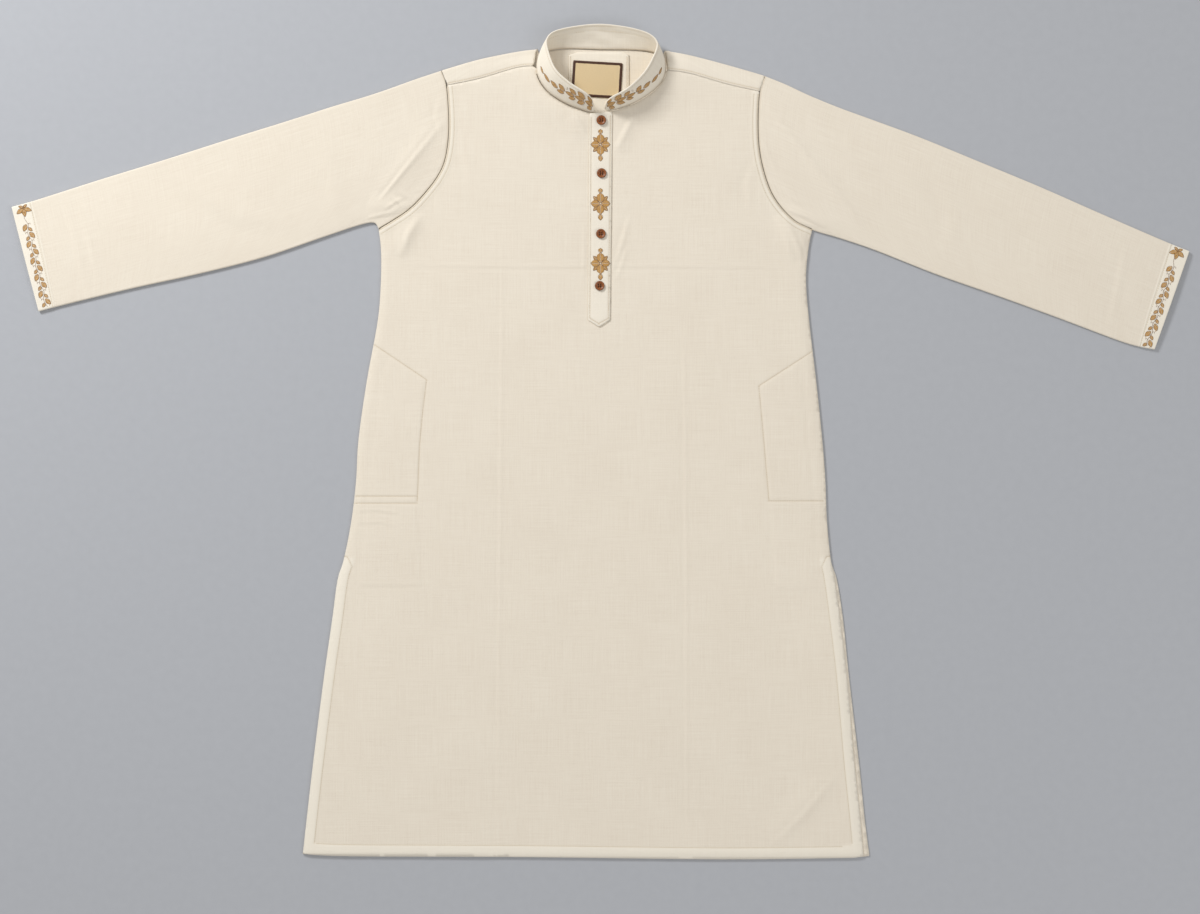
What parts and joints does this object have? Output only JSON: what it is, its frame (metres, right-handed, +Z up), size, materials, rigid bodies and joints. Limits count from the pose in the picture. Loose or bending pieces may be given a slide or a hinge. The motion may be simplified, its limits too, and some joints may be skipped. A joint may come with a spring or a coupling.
{
  "type": "long-sleeved kurta tunic with a band collar, laid flat",
  "caption": "Knee-length cotton kurta laid flat, with a standing band collar, a pointed half placket with wooden buttons, side slits and long sleeves.",
  "frame": {"origin": "middle of the garment's footprint, on the surface it lies on", "axes": "+X across the garment, from the viewer's left sleeve to the viewer's right sleeve; +Y from the hem towards the collar; +Z up from the surface"},
  "size_m": [1.518, 1.0744, 0.0356],
  "materials": {
    "body_cotton": "matt hand-loomed cream cotton with slubs",
    "band_cotton": "interlined cream cotton, pressed smooth",
    "label_cloth": "woven beige label with a dark brown border, bare of lettering",
    "button_wood": "satin turned brown wood",
    "thread": "satin-stitched gold-brown embroidery thread"
  },
  "bodies": {
    "root": {"back_panel": "body_cotton", "yoke": "body_cotton", "front_panel": "body_cotton", "sleeve_left": "body_cotton", "sleeve_right": "body_cotton", "collar_band": "band_cotton", "placket": "band_cotton", "under_placket": "body_cotton", "pocket_bag_left": "body_cotton", "pocket_bag_right": "body_cotton", "label_patch": "body_cotton", "label": "label_cloth", "button_1": "button_wood", "button_2": "button_wood", "button_3": "button_wood", "button_4": "button_wood"}
  },
  "joints": []
}
